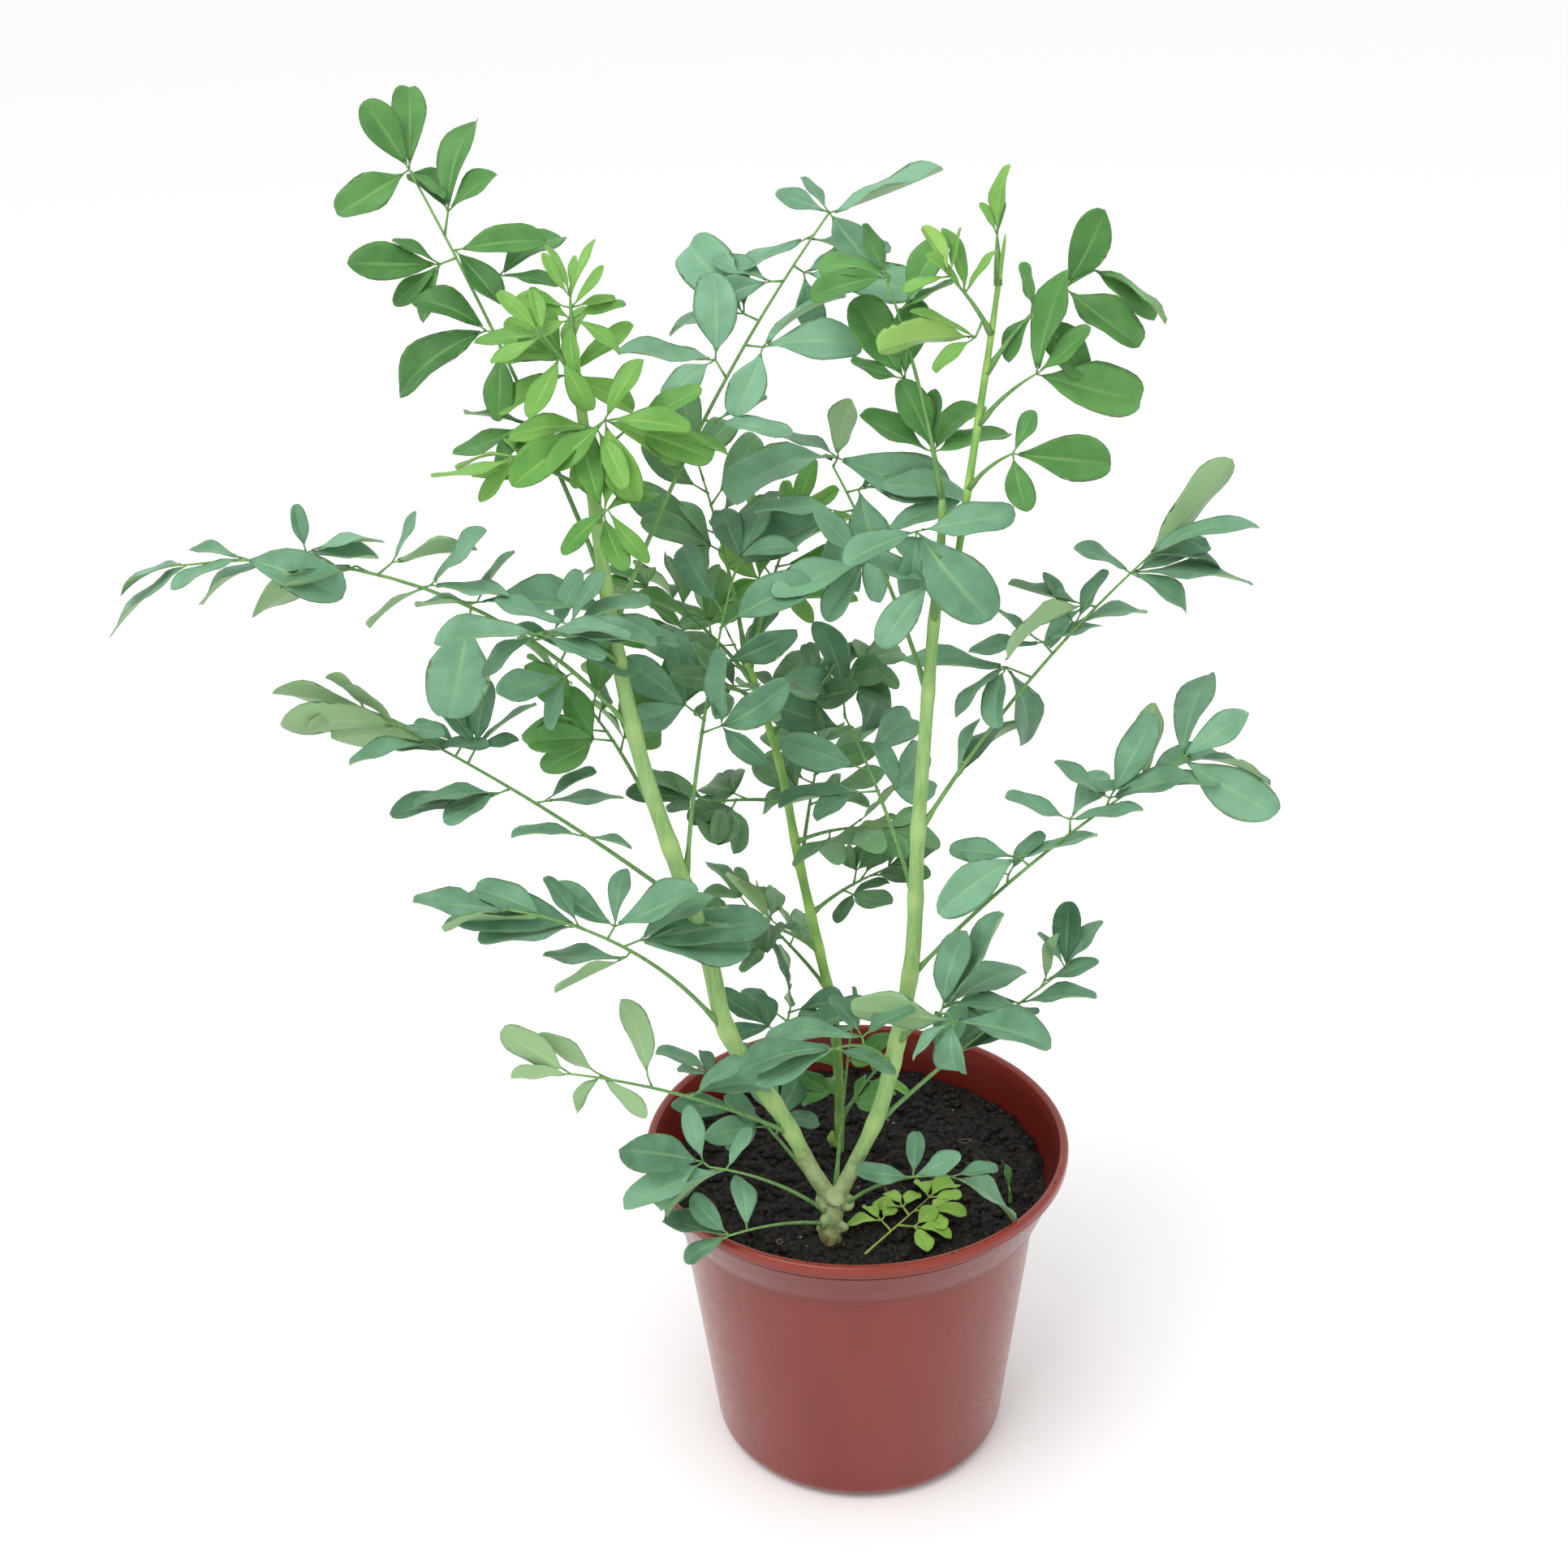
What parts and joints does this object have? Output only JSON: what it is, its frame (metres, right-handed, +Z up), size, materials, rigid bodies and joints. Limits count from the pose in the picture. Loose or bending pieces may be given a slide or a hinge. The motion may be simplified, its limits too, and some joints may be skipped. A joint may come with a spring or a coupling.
{
  "type": "potted rue plant",
  "caption": "Rue plant with upright stems and loose, divided blue-green leaves, growing in soil in a tapered plastic nursery pot with a rolled rim.",
  "frame": {"origin": "centre of the pot's flat underside", "axes": "+Z up along the pot's axis; -Y is the side where the plant's crown stands nearest the rim"},
  "size_m": [0.3366, 0.1646, 0.4454],
  "materials": {
    "moulded_pot": "brick-red injection-moulded plastic, satin",
    "potting_soil": "dark moist peat potting soil",
    "woody_crown": "pale grey-green bark",
    "green_stem": "pale green stem skin with a waxy bloom",
    "young_stem": "smooth young green stem skin",
    "glaucous_leaf": "blue-green leaf with a matt waxy bloom",
    "green_leaf": "mid-green leaf, satin",
    "young_leaf": "bright yellow-green young leaf",
    "fallen_leaf": "yellowing shed leaf"
  },
  "bodies": {
    "root": {"pot": "moulded_pot", "soil": "potting_soil", "crown": "woody_crown", "left_stem": "green_stem", "right_stem": "green_stem", "shoot_stem": "young_stem", "rear_stem": "young_stem", "left_leaf_01": "glaucous_leaf", "left_leaf_02": "glaucous_leaf", "left_leaf_03": "glaucous_leaf", "left_leaf_04": "glaucous_leaf", "left_leaf_05": "glaucous_leaf", "left_leaf_06": "green_leaf", "left_leaf_07": "glaucous_leaf", "left_leaf_08": "glaucous_leaf", "left_leaf_09": "glaucous_leaf", "left_leaf_10": "green_leaf", "left_leaf_11": "young_leaf", "left_leaf_12": "young_leaf", "left_leaf_13": "young_leaf", "left_leaf_14": "young_leaf", "left_leaf_15": "young_leaf", "left_leaf_16": "young_leaf", "left_leaf_17": "young_leaf", "right_leaf_01": "glaucous_leaf", "right_leaf_02": "glaucous_leaf", "right_leaf_03": "glaucous_leaf", "right_leaf_04": "glaucous_leaf", "right_leaf_05": "glaucous_leaf", "right_leaf_06": "glaucous_leaf", "right_leaf_07": "glaucous_leaf", "right_leaf_08": "glaucous_leaf", "right_leaf_09": "green_leaf", "shoot_leaf_01": "green_leaf", "shoot_leaf_02": "green_leaf", "shoot_leaf_03": "green_leaf", "shoot_leaf_04": "young_leaf", "shoot_leaf_05": "young_leaf", "rear_leaf_01": "young_leaf", "rear_leaf_02": "glaucous_leaf", "rear_leaf_03": "glaucous_leaf", "rear_leaf_04": "glaucous_leaf", "rear_leaf_05": "glaucous_leaf", "rear_leaf_06": "glaucous_leaf", "rear_leaf_07": "glaucous_leaf", "rear_leaf_08": "glaucous_leaf", "rear_leaf_09": "glaucous_leaf", "rear_leaf_10": "glaucous_leaf", "rear_leaf_11": "green_leaf", "rear_leaf_12": "young_leaf", "rear_leaf_13": "glaucous_leaf", "crown_leaf_01": "glaucous_leaf", "crown_leaf_02": "glaucous_leaf", "crown_leaf_03": "glaucous_leaf", "crown_leaf_04": "glaucous_leaf", "crown_leaf_05": "green_leaf", "fallen_leaf": "fallen_leaf", "seedling": "green_leaf"}
  },
  "joints": []
}
